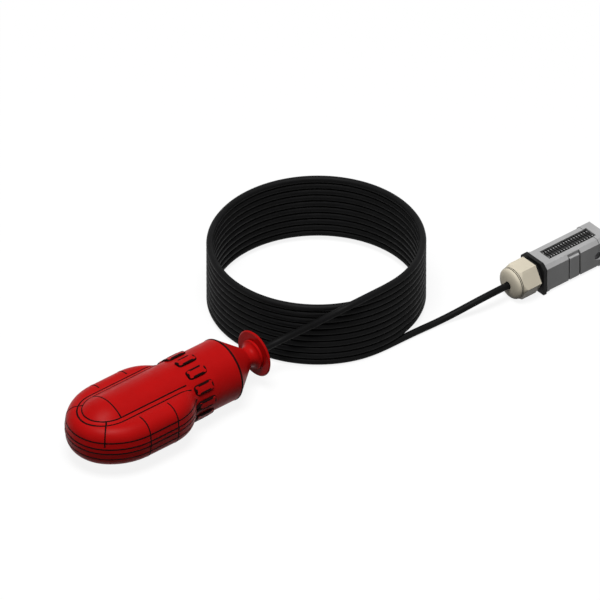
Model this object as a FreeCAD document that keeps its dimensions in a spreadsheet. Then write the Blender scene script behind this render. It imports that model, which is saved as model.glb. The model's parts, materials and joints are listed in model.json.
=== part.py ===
import FreeCAD, Part
import math
import os
import re

# Cable float switch. A moulded float with a flat buoyancy ring holds a ball-operated
# microswitch. Its cable is wound into a round coil and ends in a gland and a plug housing.
# Millimetres, +Z up. The float lies level along X with its nose at -X. The origin is on the
# surface, under the middle of the float.

os.makedirs("parts", exist_ok=True)
doc = FreeCAD.newDocument("cable_float_switch")
Vector = FreeCAD.Vector

# Driving dimensions, one alias per cell
SIZES = {
    # float tube and dome, stations along X from the middle of the float
    "tube_radius": 23.5,
    "tube_wall": 2.2,
    "dome_base": 53.9,
    "dome_length": 27.5,
    "shoulder_station": 52.4,
    # raised pads round the tube
    "pad_count": 12,
    "pad_length": 15.0,
    "pad_width": 6.0,
    "pad_rise": 1.5,
    "pad_station": 11.2,
    # buoyancy ring
    "ring_half_width": 35.3,
    "ring_half_height": 16.3,
    "ring_side_radius": 45.0,
    "ring_nose": 83.4,
    "ring_straight_front": 42.4,
    "ring_straight_rear": 16.8,
    "ring_edge_radius": 10.5,
    "ring_fillet": 9.5,
    "ring_draft": 7.0,
    "ring_wall": 2.4,
    "band_half": 1.8,
    # rear cap and bell-mouth gland of the float
    "cap_cone_length": 19.6,
    "cap_neck_radius": 8.6,
    "cap_spigot_length": 8.0,
    "cap_spigot_wall": 3.8,
    "cap_wall": 3.0,
    "boss_depth": 21.0,
    "groove_width": 2.4,
    "groove_depth": 1.9,
    "shank_radius": 6.0,
    "shank_length": 11.0,
    "grommet_length": 7.0,
    "waist_radius": 7.15,
    "waist_length": 2.7,
    "bell_radius": 11.0,
    "bell_length": 4.8,
    "hub_length": 2.1,
    "disc_radius": 17.6,
    "disc_thickness": 1.8,
    "mouth_radius": 5.4,
    "mouth_depth": 3.5,
    # cable
    "cable_radius": 2.6,
    "cable_clearance": 0.4,
    "core_radius": 0.75,
    "core_gap": 0.65,
    "coil_radius": 76.0,
    "coil_pitch": 5.22,
    "coil_turns": 10,
    "coil_groove": 1.2,
    "coil_station": 178.1,
    "coil_side": 45.2,
    # switch carrier inside the float
    "carrier_front": 44.0,
    "carrier_length": 84.0,
    "carrier_thick": 2.5,
    "carrier_width": 32.0,
    "carrier_level": 5.5,
    "rib_thick": 3.0,
    "rib_window": 15.0,
    "track_length": 41.0,
    "track_wall": 2.0,
    "track_cover": 1.5,
    "ball_radius": 8.0,
    "ball_clearance": 0.3,
    "ball_lift": 0.1,
    "running_clearance": 0.05,
    # microswitch
    "case_depth": 10.0,
    "case_width": 20.0,
    "case_height": 6.4,
    "case_wall": 1.2,
    "case_station": 4.0,
    "case_cover": 1.0,
    "button_radius": 1.1,
    "button_offset": 4.2,
    "button_reach": 1.6,
    "lever_hinge_offset": 9.2,
    "lever_hinge_gap": 1.6,
    "lever_length": 17.5,
    "lever_thick": 0.5,
    "lever_height": 4.0,
    "lever_knuckle": 0.9,
    "lever_pin_radius": 0.4,
    "lever_angle": 6.0,
    "terminal_length": 6.0,
    "terminal_width": 3.2,
    "terminal_thick": 0.6,
    "terminal_pitch": 7.0,
    "screw_radius": 1.15,
    "screw_head": 2.2,
    "screw_head_height": 1.5,
    "screw_pitch": 4.9,
    # cord clamp on the carrier
    "clamp_length": 7.0,
    "clamp_width": 18.0,
    "clamp_height": 4.4,
    "clamp_station": 29.0,
    "clamp_screw_pitch": 6.4,
    "sheath_inset": 1.5,
    # plug: gland nut, flange, hood
    "plug_station": 281.9,
    "plug_side": -41.5,
    "dome_nut_length": 6.1,
    "dome_nut_radius": 12.1,
    "dome_nut_step": 1.1,
    "nut_flats": 24.2,
    "nut_length": 15.0,
    "nut_wall": 3.2,
    "collar_length": 2.8,
    "collar_radius": 11.0,
    "spigot_radius": 8.9,
    "seal_length": 9.0,
    "flange_thick": 2.9,
    "flange_side": 25.8,
    "flange_corner": 4.0,
    "gasket_thick": 2.9,
    "gasket_side": 25.0,
    "hood_length": 56.4,
    "hood_width": 24.3,
    "hood_height": 22.9,
    "hood_wall": 3.4,
    "hood_back": 3.2,
    "hood_chamfer": 2.9,
    "slot_width": 10.3,
    "slot_station": 5.7,
    "slot_length": 42.7,
    "slot_depth": 1.6,
    "grip_pitch": 2.4,
    "grip_thick": 1.0,
    "grip_height": 1.2,
    "grip_split": 1.5,
    "latch_station": 19.3,
    "latch_length": 9.3,
    "latch_rise": 0.8,
    "latch_gap": 0.9,
    "end_frame_length": 9.7,
    "end_frame_rise": 0.8,
    "side_screw_radius": 3.2,
    "side_screw_station": 45.9,
    "side_screw_drop": 2.3,
    "insert_length": 22.0,
    "insert_setback": 7.2,
    "pin_radius": 1.25,
    "pin_reach": 6.0,
    "pin_pitch": 7.0,
}

sheet = doc.addObject("Spreadsheet::Sheet", "sizes")
for row, (alias, number) in enumerate(SIZES.items(), start=1):
    cell = "B%d" % row
    sheet.set("A%d" % row, alias)
    sheet.set(cell, str(number))
    sheet.setAlias(cell, alias)
doc.recompute()


def size(alias):
    """The number in the sheet's cell of that alias."""
    return float(sheet.get(alias))


def q(text):
    """An expression on the sheet: every known alias gets the sheet's name in front."""
    def named(match):
        word = match.group(0)
        return "sizes." + word if word in SIZES else word
    return re.sub(r"[a-z][a-z_]*", named, text)


def bind(thing, **expressions):
    """Tie properties to the sheet. A double underscore in a name stands for a dot."""
    for name, text in expressions.items():
        thing.setExpression(name.replace("__", "."), q(text))
    return thing


def place(thing, x="0", y="0", z="0"):
    for axis, text in (("x", x), ("y", y), ("z", z)):
        thing.setExpression("Placement.Base." + axis, q(text))
    return thing


# Where the two groups stand. Float pieces are drawn about the float's own axis, and plug
# pieces about the plug's axis from the tip of its domed nut.
FLOAT_LEVEL = "tube_radius + pad_rise"
PLUG_LEVEL = "flange_side / 2"
sub_parts = []


def finish(thing, label, group="float"):
    """Name a finished sub-part, set its place and list it for export."""
    thing.Label = label
    if group == "float":
        place(thing, z=FLOAT_LEVEL)
    elif group == "plug":
        place(thing, "plug_station", "plug_side", PLUG_LEVEL)
    elif group == "coil":
        place(thing, "coil_station", "coil_side")
    sub_parts.append(thing)
    return thing


def shape_part(shape, label, group="float"):
    """A sub-part whose shape comes from Part's own functions."""
    thing = doc.addObject("Part::Feature", label)
    thing.Shape = shape
    return finish(thing, label, group)


def plane_of(body, role):
    return [f for f in body.Origin.OriginFeatures if f.Role == role][0]


def sketch_polygon(body, name, role, corners, offset=None):
    """A closed polygon whose corners are expressions, on one of the body's own planes.

    A corner may carry a third entry: the point that the side leaving it bends through.
    """
    sketch = body.newObject("Sketcher::SketchObject", name)
    sketch.AttachmentSupport = [(plane_of(body, role), "")]
    sketch.MapMode = "FlatFace"
    if offset:
        bind(sketch, AttachmentOffset__Base__z=offset)
    count = len(corners)
    start = [Vector(10 * math.cos(2 * math.pi * i / count), 10 * math.sin(2 * math.pi * i / count), 0)
             for i in range(count)]
    for i in range(count):
        sketch.addGeometry(Part.LineSegment(start[i], start[(i + 1) % count]), False)
    import Sketcher
    for i in range(count):
        sketch.addConstraint(Sketcher.Constraint("Coincident", i, 2, (i + 1) % count, 1))
    for i, corner in enumerate(corners):
        for kind, text in (("DistanceX", corner[0]), ("DistanceY", corner[1])):
            index = sketch.addConstraint(Sketcher.Constraint(kind, i, 1, start[i].x + 0.5))
            sketch.setExpression("Constraints[%d]" % index, q(text))
    return sketch


def turned(label, corners, group="float", axis="H_Axis", export=True):
    """A PartDesign body turned about X from a half section of (station, radius) corners."""
    body = doc.addObject("PartDesign::Body", label + "_body")
    sketch = sketch_polygon(body, label + "_section", "XZ_Plane", corners)
    turn = body.newObject("PartDesign::Revolution", label + "_turn")
    turn.Profile = sketch
    turn.ReferenceAxis = (sketch, [axis])
    turn.Angle = 360
    doc.recompute()
    if export:
        finish(body, label, group)
    return body


def bar(name, x, y, z, length, width, height):
    """A box by its least corner and its sides."""
    box = doc.addObject("Part::Box", name)
    bind(box, Length=length, Width=width, Height=height)
    return place(box, x, y, z)


def rod(name, radius, length, x="0", y="0", z="0", axis="X"):
    """A cylinder that starts at a point and runs along X, Y or Z."""
    cylinder = doc.addObject("Part::Cylinder", name)
    bind(cylinder, Radius=radius, Height=length)
    turn = {"X": (Vector(0, 1, 0), 90), "Y": (Vector(1, 0, 0), -90), "Z": (Vector(0, 0, 1), 0)}[axis]
    cylinder.Placement.Rotation = FreeCAD.Rotation(*turn)
    return place(cylinder, x, y, z)


def cut(name, base, tool):
    thing = doc.addObject("Part::Cut", name)
    thing.Base = base
    thing.Tool = tool
    return thing


def joined(name, things):
    thing = doc.addObject("Part::MultiFuse", name)
    thing.Shapes = things
    return thing


def group_of(name, things):
    thing = doc.addObject("Part::Compound", name)
    thing.Links = things
    return thing


# Float tube: one moulding with a closed domed nose and a row of raised pads
def dome_solid(radius, length):
    """Half an ellipsoid in front of the dome's base."""
    base = Vector(-size("dome_base"), 0, 0)
    tip = base - Vector(length, 0, 0)
    if length > radius:
        curve = Part.Ellipse(base, length, radius)
        arc = Part.ArcOfEllipse(curve, math.pi / 2, math.pi)
    else:
        arc = Part.ArcOfCircle(Part.Circle(base, Vector(0, 0, 1), radius), math.pi / 2, math.pi)
    wire = Part.Wire([arc.toShape(),
                      Part.LineSegment(tip, base).toShape(),
                      Part.LineSegment(base, base + Vector(0, radius, 0)).toShape()])
    return Part.Face(wire).revolve(base, Vector(1, 0, 0), 360)


def tube_envelope(shrink):
    """The tube and dome as one solid, inset by a wall."""
    radius = size("tube_radius") - shrink
    start = Vector(-size("dome_base"), 0, 0)
    straight = size("dome_base") + size("shoulder_station")
    barrel = Part.makeCylinder(radius, straight, start, Vector(1, 0, 0))
    return barrel.fuse(dome_solid(radius, size("dome_length") - shrink)).removeSplitter()


def pad_row():
    """Rounded pads that stand proud of the tube, evenly spaced."""
    inner = size("tube_radius") - size("tube_wall") / 2
    outer = size("tube_radius") + size("pad_rise")
    length, width = size("pad_length"), size("pad_width")
    block = Part.makeBox(length, width, outer - inner,
                         Vector(size("pad_station"), -width / 2, inner))
    upright = [e for e in block.Edges if e.BoundBox.ZLength > 1 and e.BoundBox.XLength < 0.1]
    block = block.makeFillet(width / 4, upright)
    crown = Part.makeCylinder(outer, length + 2, Vector(size("pad_station") - 1, 0, 0), Vector(1, 0, 0))
    pad = block.common(crown)
    count = int(size("pad_count"))
    pads = []
    for i in range(count):
        one = pad.copy()
        one.rotate(Vector(0, 0, 0), Vector(1, 0, 0), 360.0 * i / count)
        pads.append(one)
    return pads


outer_tube = tube_envelope(0)
padded_tube = outer_tube.multiFuse(pad_row()).removeSplitter()
shape_part(padded_tube.cut(tube_envelope(size("tube_wall"))), "float_tube")


# Buoyancy ring: two hollow half shells that meet at a band round the middle
def ring_outline(inset, level):
    """The ring's plan: straight sides, tangent side arcs, a nose arc and a round rear end."""
    half = size("ring_half_width")
    front, rear = -size("ring_straight_front"), -size("ring_straight_rear")
    nose = -size("ring_nose")
    side = size("ring_side_radius")
    centre = half - side
    reach = front - nose
    nose_radius = (side ** 2 - reach ** 2 - centre ** 2) / (2 * (side - reach))
    nose_centre = nose + nose_radius
    slope = math.atan2(-centre, nose_centre - front)
    r = side - inset
    h = half - inset

    def at(x, y):
        return Vector(x, y, level)

    def on_side(angle, sign):
        return at(front + r * math.cos(angle), sign * (centre + r * math.sin(angle)))

    middle = (math.pi / 2 + slope) / 2
    return Part.Wire([
        Part.LineSegment(at(rear, h), at(front, h)).toShape(),
        Part.Arc(at(front, h), on_side(middle, 1), on_side(slope, 1)).toShape(),
        Part.Arc(on_side(slope, 1), at(nose + inset, 0), on_side(slope, -1)).toShape(),
        Part.Arc(on_side(slope, -1), on_side(middle, -1), at(front, -h)).toShape(),
        Part.LineSegment(at(front, -h), at(rear, -h)).toShape(),
        Part.Arc(at(rear, -h), at(rear + h, 0), at(rear, h)).toShape()])


def rounded_slab(inset, low, high, edge_radius):
    """A drafted slab over the ring's plan with its top edge rounded."""
    draft = math.tan(math.radians(size("ring_draft")))
    foot = inset + max(0.0, low - size("band_half")) * draft
    slab = Part.makeLoft([ring_outline(foot, low), ring_outline(inset + (high - low) * draft, high)],
                         True, True)
    top = [e for e in slab.Edges if abs(e.BoundBox.ZMin - high) < 1e-6]
    return slab.makeFillet(edge_radius, top)


def ring_half_shape():
    """The upper half shell, open at the band, with a fillet up to the tube."""
    band, high = size("band_half"), size("ring_half_height")
    body = rounded_slab(0, band, high, size("ring_edge_radius"))
    hull = outer_tube.fuse(body).Solids[0]
    corner = []
    for edge in hull.Edges:
        middle = edge.valueAt((edge.FirstParameter + edge.LastParameter) / 2)
        dot = Part.Vertex(middle)
        if middle.z < band + 1 or edge.Length < 0.5:
            continue
        if outer_tube.Shells[0].distToShape(dot)[0] < 1e-3 and body.Shells[0].distToShape(dot)[0] < 1e-3:
            corner.append(edge)
    blended = hull.makeFillet(size("ring_fillet"), corner)
    blended.fix(0.01, 0.001, 0.1)
    far = 4 * size("ring_nose")
    above = Part.makeBox(far, far, far, Vector(-far / 2, -far / 2, band))
    shell = blended.common(above).cut(padded_tube)
    wall = size("ring_wall")
    hollow = rounded_slab(wall, band, high - wall, size("ring_edge_radius") - wall)
    keep_out = tube_envelope(-wall)
    hollow = hollow.cut(keep_out)
    shell = shell.cut(hollow)
    return max(shell.Solids, key=lambda s: s.Volume)


upper_half = ring_half_shape()
shape_part(upper_half, "ring_upper")

mirrored = upper_half.mirror(Vector(0, 0, 0), Vector(0, 0, 1))
wall = size("ring_wall")
band_height = 2 * size("band_half")
band = Part.Face(ring_outline(0, -size("band_half"))).extrude(Vector(0, 0, band_height))
band_hole = Part.Face(ring_outline(wall, -size("band_half"))).extrude(Vector(0, 0, band_height))
band_hole = band_hole.cut(tube_envelope(-wall))
band = band.cut(padded_tube).cut(band_hole)
lower_half = max(mirrored.fuse(band).removeSplitter().Solids, key=lambda s: s.Volume)
shape_part(lower_half, "ring_lower")


# Rear cap: cone, spigot with a seal groove, and a central boss for the gland
CAP = "shoulder_station"
NECK = "shoulder_station + cap_cone_length"
BOSS = NECK + " - boss_depth"
SPIGOT = "tube_radius - tube_wall"
turned("rear_cap", [
    (CAP + " - cap_spigot_length", SPIGOT + " - cap_spigot_wall"),
    (CAP + " - cap_spigot_length", SPIGOT),
    (CAP + " - cap_spigot_length / 2 - groove_width / 2", SPIGOT),
    (CAP + " - cap_spigot_length / 2 - groove_width / 2", SPIGOT + " - groove_depth"),
    (CAP + " - cap_spigot_length / 2 + groove_width / 2", SPIGOT + " - groove_depth"),
    (CAP + " - cap_spigot_length / 2 + groove_width / 2", SPIGOT),
    (CAP, SPIGOT),
    (CAP, "tube_radius"),
    (NECK, "cap_neck_radius"),
    (NECK, "shank_radius"),
    (NECK + " - shank_length - grommet_length", "shank_radius"),
    (NECK + " - shank_length - grommet_length", "cable_radius + cable_clearance"),
    (BOSS, "cable_radius + cable_clearance"),
    (BOSS, "shank_radius + cap_wall"),
    (NECK + " - shank_length - 1", "shank_radius + cap_wall"),
    (NECK + " - shank_length - 1", "shank_radius + 2.7 * cap_wall"),
    (CAP, SPIGOT + " - cap_spigot_wall"),
])

o_ring = doc.addObject("Part::Torus", "o_ring")
bind(o_ring, Radius2="groove_depth / 2", Radius1="tube_radius - tube_wall - groove_depth / 2")
o_ring.Placement.Rotation = FreeCAD.Rotation(Vector(0, 1, 0), 90)
finish(o_ring, "cap_seal")
bind(o_ring, Placement__Base__x="shoulder_station - cap_spigot_length / 2")

turned("grommet", [
    (NECK + " - shank_length - grommet_length", "cable_radius"),
    (NECK + " - shank_length - grommet_length", "shank_radius"),
    (NECK + " - shank_length", "shank_radius"),
    (NECK + " - shank_length", "cable_radius"),
])


# Bell-mouth gland: threaded shank, waist, flared bell and a thin disc
def bell_gland():
    neck = size("shoulder_station") + size("cap_cone_length")
    waist_end = neck + size("waist_length")
    bell_end = waist_end + size("bell_length")
    disc_start = bell_end + size("hub_length")
    disc_end = disc_start + size("disc_thickness")
    bore = size("cable_radius") + size("cable_clearance")
    waist, bell, disc = size("waist_radius"), size("bell_radius"), size("disc_radius")
    rim = size("disc_thickness") * 0.4

    def at(x, r):
        return Vector(x, r, 0)

    flare = Part.Arc(at(waist_end, waist),
                     at(waist_end + 0.72 * size("bell_length"), waist + 0.3 * (bell - waist)),
                     at(bell_end, bell))
    lip = Part.Arc(at(disc_end, size("mouth_radius")),
                   at(disc_end - 0.55 * size("mouth_depth"), bore + 0.3 * (size("mouth_radius") - bore)),
                   at(disc_end - size("mouth_depth"), bore))
    corners = [at(neck - size("shank_length"), bore), at(neck - size("shank_length"), size("shank_radius")),
               at(neck, size("shank_radius")), at(neck, waist), at(waist_end, waist)]
    outer = [at(bell_end, bell), at(disc_start, bell), at(disc_start, disc - rim),
             at(disc_start + rim, disc), at(disc_end - rim, disc), at(disc_end, disc - rim),
             at(disc_end, size("mouth_radius"))]
    edges = [Part.LineSegment(a, b).toShape() for a, b in zip(corners, corners[1:])]
    edges.append(flare.toShape())
    edges += [Part.LineSegment(a, b).toShape() for a, b in zip(outer, outer[1:])]
    edges.append(lip.toShape())
    edges.append(Part.LineSegment(at(disc_end - size("mouth_depth"), bore), corners[0]).toShape())
    return Part.Face(Part.Wire(edges)).revolve(Vector(0, 0, 0), Vector(1, 0, 0), 360)


shape_part(bell_gland(), "bell_gland")

# Cable sheath inside the float, from the clamp to the bell's rear face
GLAND_END = NECK + " + waist_length + bell_length + hub_length + disc_thickness"
sheath = rod("sheath_in_float", "cable_radius",
             GLAND_END + " - clamp_station + sheath_inset", "clamp_station - sheath_inset")
finish(sheath, "sheath_end_float")
bind(sheath, Placement__Base__x="clamp_station - sheath_inset")

# Potting that seals the rear of the chamber inside the cap's spigot
turned("potting", [
    (CAP + " - cap_spigot_length + 1.5", "cable_radius"),
    (CAP + " - cap_spigot_length + 1.5", SPIGOT + " - cap_spigot_wall"),
    (BOSS, SPIGOT + " - cap_spigot_wall"),
    (BOSS, "cable_radius"),
])

# Switch carrier: a tray with end ribs that touch the tube, ball track walls,
# a pedestal for the microswitch and the lower half of the cord clamp
FLOOR = "-carrier_level"
BALL_LEVEL = "ball_radius + ball_lift - carrier_level"
TRACK_TOP = "2 * ball_radius + ball_clearance - carrier_level"
TRACK_HALF = "ball_radius + ball_clearance"
CASE_LOW = BALL_LEVEL + " - case_height / 2"
tray = bar("tray", "-carrier_front", "-carrier_width / 2", FLOOR + " - carrier_thick",
           "carrier_length", "carrier_width", "carrier_thick")


def carrier_rib(name, station):
    disc = rod(name + "_disc", SPIGOT, "rib_thick", station)
    window = rod(name + "_window", "rib_window", "rib_thick + 2", station + " - 1")
    return cut(name, disc, window)


front_rib = rod("front_rib", SPIGOT, "rib_thick", "-carrier_front")
rear_rib = carrier_rib("rear_rib", "carrier_length - carrier_front - rib_thick")
track_walls = [
    bar("track_wall_" + side, "-carrier_front", start, FLOOR, "track_length + rib_thick", "track_wall",
        "2 * ball_radius + ball_clearance")
    for side, start in (("left", TRACK_HALF), ("right", "-ball_radius - ball_clearance - track_wall"))]
pedestal = bar("pedestal", "case_station", "-case_width / 2", FLOOR, "case_depth", "case_width",
               "ball_radius + ball_lift - case_height / 2")
saddle_block = bar("saddle_block", "clamp_station", "-clamp_width / 2", FLOOR, "clamp_length",
                   "clamp_width", "carrier_level - 0.2")
saddle_bore = rod("saddle_bore", "cable_radius", "clamp_length + 2", "clamp_station - 1")
saddle = cut("saddle", saddle_block, saddle_bore)
carrier_blank = joined("carrier_blank", [tray, front_rib, rear_rib] + track_walls + [pedestal, saddle])
case_screw_holes = [
    rod("case_screw_hole_" + side, "screw_radius", "case_height", "case_station + case_depth - 2.4",
        sign + "screw_pitch", "-carrier_level", "Z")
    for side, sign in (("left", ""), ("right", "-"))]
clamp_screw_holes = [
    rod("clamp_screw_hole_" + side, "screw_radius", "carrier_level + 1",
        "clamp_station + clamp_length / 2", sign + "clamp_screw_pitch", "-carrier_level", "Z")
    for side, sign in (("left", ""), ("right", "-"))]
carrier = cut("carrier", carrier_blank,
              group_of("carrier_holes", case_screw_holes + clamp_screw_holes))
finish(carrier, "switch_carrier")

cover = bar("track_lid", "-carrier_front + rib_thick", "-ball_radius - ball_clearance - track_wall",
            TRACK_TOP, "track_length", "2 * (ball_radius + ball_clearance + track_wall)", "track_cover")
finish(cover, "track_cover")
place(cover, "-carrier_front + rib_thick", "-ball_radius - ball_clearance - track_wall",
      FLOAT_LEVEL + " + " + TRACK_TOP)

ball = doc.addObject("Part::Sphere", "ball")
bind(ball, Radius="ball_radius")
finish(ball, "steel_ball")
place(ball, "-carrier_front + rib_thick + ball_radius + ball_clearance", "0",
      FLOAT_LEVEL + " + " + BALL_LEVEL)


# Microswitch: case, cover, button, lever on its pin, terminals and contacts
def screw(name, x, y, top, length):
    """A screw along Z: a round head on a plain shank."""
    shank = rod(name + "_shank", "screw_radius", length, x, y, top + " - (" + length + ")", "Z")
    head = rod(name + "_head", "screw_head", "screw_head_height", x, y, top, "Z")
    return joined(name, [shank, head])


CASE_TOP = BALL_LEVEL + " + case_height / 2"
case_block = bar("case_block", "case_station", "-case_width / 2", CASE_LOW,
                 "case_depth", "case_width", "case_height - case_cover")
case_room = bar("case_room", "case_station + case_wall", "-case_width / 2 + case_wall",
                CASE_LOW + " + case_wall", "case_depth - 4 * case_wall",
                "case_width - 2 * case_wall", "case_height")
case_tools = [case_room]
case_tools.append(rod("button_hole", "button_radius + running_clearance", "case_wall + 2", "case_station - 1",
                      "button_offset - lever_hinge_offset", BALL_LEVEL))
case_tools += [
    rod("case_hole_" + side, "screw_radius", "case_height", "case_station + case_depth - 2.4",
        sign + "screw_pitch", CASE_LOW + " - 1", "Z")
    for side, sign in (("left", ""), ("right", "-"))]
case = cut("case", case_block, group_of("case_tools", case_tools))
finish(case, "switch_case")

lid_block = bar("lid_block", "case_station", "-case_width / 2", CASE_TOP + " - case_cover",
                "case_depth", "case_width", "case_cover")
lid_holes = [
    rod("lid_hole_" + side, "screw_radius", "case_cover + 2", "case_station + case_depth - 2.4",
        sign + "screw_pitch", CASE_TOP + " - case_cover - 1", "Z")
    for side, sign in (("left", ""), ("right", "-"))]
lid = cut("lid", lid_block, group_of("lid_holes", lid_holes))
finish(lid, "switch_cover")

case_screws = group_of("case_screw_pair", [
    screw("case_screw_" + side, "case_station + case_depth - 2.4", sign + "screw_pitch",
          CASE_TOP, "case_height + 3")
    for side, sign in (("left", ""), ("right", "-"))])
finish(case_screws, "switch_screws")

button = rod("button", "button_radius", "button_reach + case_wall + 0.6",
             "case_station - button_reach", "button_offset - lever_hinge_offset", BALL_LEVEL)
finish(button, "switch_button")
place(button, "case_station - button_reach", "button_offset - lever_hinge_offset",
      FLOAT_LEVEL + " + " + BALL_LEVEL)

HINGE_X = "case_station - lever_hinge_gap"
blade = bar("blade", "-lever_thick / 2", "0", "-lever_height / 2", "lever_thick", "lever_length",
            "lever_height")
knuckle = rod("knuckle", "lever_knuckle", "lever_height", "0", "0", "-lever_height / 2", "Z")
pin_hole = rod("pin_hole", "lever_pin_radius + running_clearance", "lever_height + 2", "0", "0", "-lever_height / 2 - 1", "Z")
lever = cut("lever", joined("lever_blank", [blade, knuckle]), pin_hole)
finish(lever, "switch_lever")
lever.Placement.Rotation = FreeCAD.Rotation(Vector(0, 0, 1), size("lever_angle"))
place(lever, HINGE_X, "-lever_hinge_offset", FLOAT_LEVEL + " + " + BALL_LEVEL)

pin_rod = rod("pin_rod", "lever_pin_radius", "case_height", HINGE_X, "-lever_hinge_offset", CASE_LOW, "Z")
pin_bracket = [
    bar("pin_ear_" + side, HINGE_X + " - lever_knuckle", "-lever_hinge_offset - lever_knuckle", low,
        "lever_hinge_gap + lever_knuckle", "2 * lever_knuckle", "0.9")
    for side, low in (("low", CASE_LOW), ("high", CASE_TOP + " - 0.9"))]
hinge_pin = joined("hinge_pin", [pin_rod] + pin_bracket)
finish(hinge_pin, "lever_pin")

TERMINAL_X = "case_station + case_depth"
terminals = group_of("terminal_row", [
    bar("terminal_%d" % i, TERMINAL_X, "%d * terminal_pitch - terminal_thick / 2" % (i - 1),
        BALL_LEVEL + " - terminal_width / 2", "terminal_length", "terminal_thick", "terminal_width")
    for i in range(3)])
finish(terminals, "switch_terminals")

spring_leaf = bar("spring_leaf", "case_station + case_wall + 1.1", "-case_width / 2 + case_wall",
                  BALL_LEVEL + " - 1.2", "0.4", "case_width - 2 * case_wall", "2.4")
finish(spring_leaf, "contact_spring")
place(spring_leaf, "case_station + case_wall + 1.1", "-case_width / 2 + case_wall",
      FLOAT_LEVEL + " + " + BALL_LEVEL + " - 1.2")

CONTACT_Y = "case_width / 2 - case_wall - 2.4"
contact_studs = group_of("contact_studs", [
    rod("contact_" + side, "button_radius", "case_depth - 5 * case_wall - 1",
        "case_station + 2 * case_wall + 1", sign + "(" + CONTACT_Y + ")", BALL_LEVEL)
    for side, sign in (("left", ""), ("right", "-"))])
finish(contact_studs, "fixed_contacts")


def core(start, end):
    """One insulated core as a straight round run."""
    way = end - start
    lap = size("core_gap")
    step = way.normalize() * lap
    return Part.makeCylinder(size("core_radius"), (end - start).Length - 2 * lap, start + step, way)


def core_bundle(tails, joints):
    return Part.makeCompound([core(a, b) for a, b in zip(tails, joints)])


def sheath_cores(station, lean):
    """Three points spread on the sheath's end face."""
    spread = size("cable_radius") / 2
    return [Vector(station, spread * math.cos(lean + i * 2 * math.pi / 3),
                   spread * math.sin(lean + i * 2 * math.pi / 3)) for i in range(3)]


ball_level = size("ball_radius") + size("ball_lift") - size("carrier_level")
terminal_tip = size("case_station") + size("case_depth") + size("terminal_length")
tips = [Vector(terminal_tip, (i - 1) * size("terminal_pitch"), ball_level) for i in range(3)]
ends = sheath_cores(size("clamp_station") - size("sheath_inset"), math.radians(150))
shape_part(core_bundle(tips, [ends[1], ends[0], ends[2]]), "float_cores")

# Upper half of the cord clamp with its two screws
strap_block = bar("strap_block", "clamp_station", "-clamp_width / 2", "0", "clamp_length",
                  "clamp_width", "clamp_height")
strap_bore = rod("strap_bore", "cable_radius", "clamp_length + 2", "clamp_station - 1")
strap_holes = [
    rod("strap_hole_" + side, "screw_radius", "clamp_height + 2", "clamp_station + clamp_length / 2",
        sign + "clamp_screw_pitch", "-1", "Z")
    for side, sign in (("left", ""), ("right", "-"))]
strap = cut("strap", strap_block, group_of("strap_tools", [strap_bore] + strap_holes))
finish(strap, "cord_clamp")
clamp_screws = group_of("clamp_screw_pair", [
    screw("clamp_screw_" + side, "clamp_station + clamp_length / 2", sign + "clamp_screw_pitch",
          "clamp_height", "clamp_height + 4")
    for side, sign in (("left", ""), ("right", "-"))])
finish(clamp_screws, "clamp_screws")


# Cable outside the float: two leads of straight runs joined by arcs, and the coil
FLOAT_LEAD = [Vector(83.4, 0, 25.0), Vector(96.6, 0, 25.0), Vector(109.2, -4.4, 29.2),
              Vector(123.4, -17.6, 41.3), Vector(138.4, -29.0, 52.9), Vector(160.5, -31.0, 54.9),
              Vector(178.1, -30.8, 54.8)]
PLUG_LEAD = [Vector(178.1, -30.8, 2.6), Vector(203.0, -30.8, 2.6), Vector(232.0, -32.5, 2.6),
             Vector(262.0, -41.5, 12.9), Vector(281.9, -41.5, 12.9)]


def lead(name, points):
    """A round tube along the route, with an arc at every corner."""
    radius = size("cable_radius")
    edges = []
    start = points[0]
    radii = []
    for before, corner, after in zip(points, points[1:], points[2:]):
        back = before - corner
        ahead = after - corner
        half_turn = (math.pi - back.getAngle(ahead)) / 2
        reach = 0.45 * min(back.Length, ahead.Length)
        bend = reach / math.tan(half_turn)
        radii.append(bend)
        back.normalize()
        ahead.normalize()
        p, r = corner + back * reach, corner + ahead * reach
        centre = corner + (back + ahead).normalize() * math.hypot(reach, bend)
        nearest = centre + (corner - centre).normalize() * bend
        edges.append(Part.LineSegment(start, p).toShape())
        edges.append(Part.Arc(p, nearest, r).toShape())
        start = r
    edges.append(Part.LineSegment(start, points[-1]).toShape())
    spine = Part.Wire(edges)
    ring = Part.Wire([Part.Circle(points[0], points[1] - points[0], radius).toShape()])
    tube = spine.makePipeShell([ring], True, True)
    volume = math.pi * radius ** 2 * spine.Length
    print(name, "bend radii", [round(b, 1) for b in radii], "length", round(spine.Length, 1),
          "volume ratio", round(tube.Volume / volume, 4))
    return tube


float_lead = lead("float lead", FLOAT_LEAD)
plug_lead = lead("plug lead", PLUG_LEAD)
shape_part(float_lead, "cable_float_lead", "world")
shape_part(plug_lead, "cable_plug_lead", "world")


def coil_shape():
    """The wound coil as one ring with a ridge for each turn and a slot for the plug lead."""
    radius, pitch = size("cable_radius"), size("coil_pitch")
    inner, outer = size("coil_radius") - radius, size("coil_radius") + radius
    dip = size("coil_groove")
    outside, inside = [], []
    for i in range(int(size("coil_turns"))):
        outside += [Vector(outer - dip, 0, i * pitch), Vector(outer, 0, (i + 0.5) * pitch)]
        inside += [Vector(inner + dip, 0, i * pitch), Vector(inner, 0, (i + 0.5) * pitch)]
    top = int(size("coil_turns")) * pitch
    outside.append(Vector(outer - dip, 0, top))
    inside.append(Vector(inner + dip, 0, top))
    section = Part.Face(Part.makePolygon(outside + inside[::-1] + [outside[0]]))
    ring = section.revolve(Vector(0, 0, 0), Vector(0, 0, 1), 360)
    slot = Part.makeBox(6 * radius * 2, 2 * radius, 2 * radius + 1,
                        Vector(0, -size("coil_radius") - radius, -1))
    return ring.cut(slot)


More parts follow.
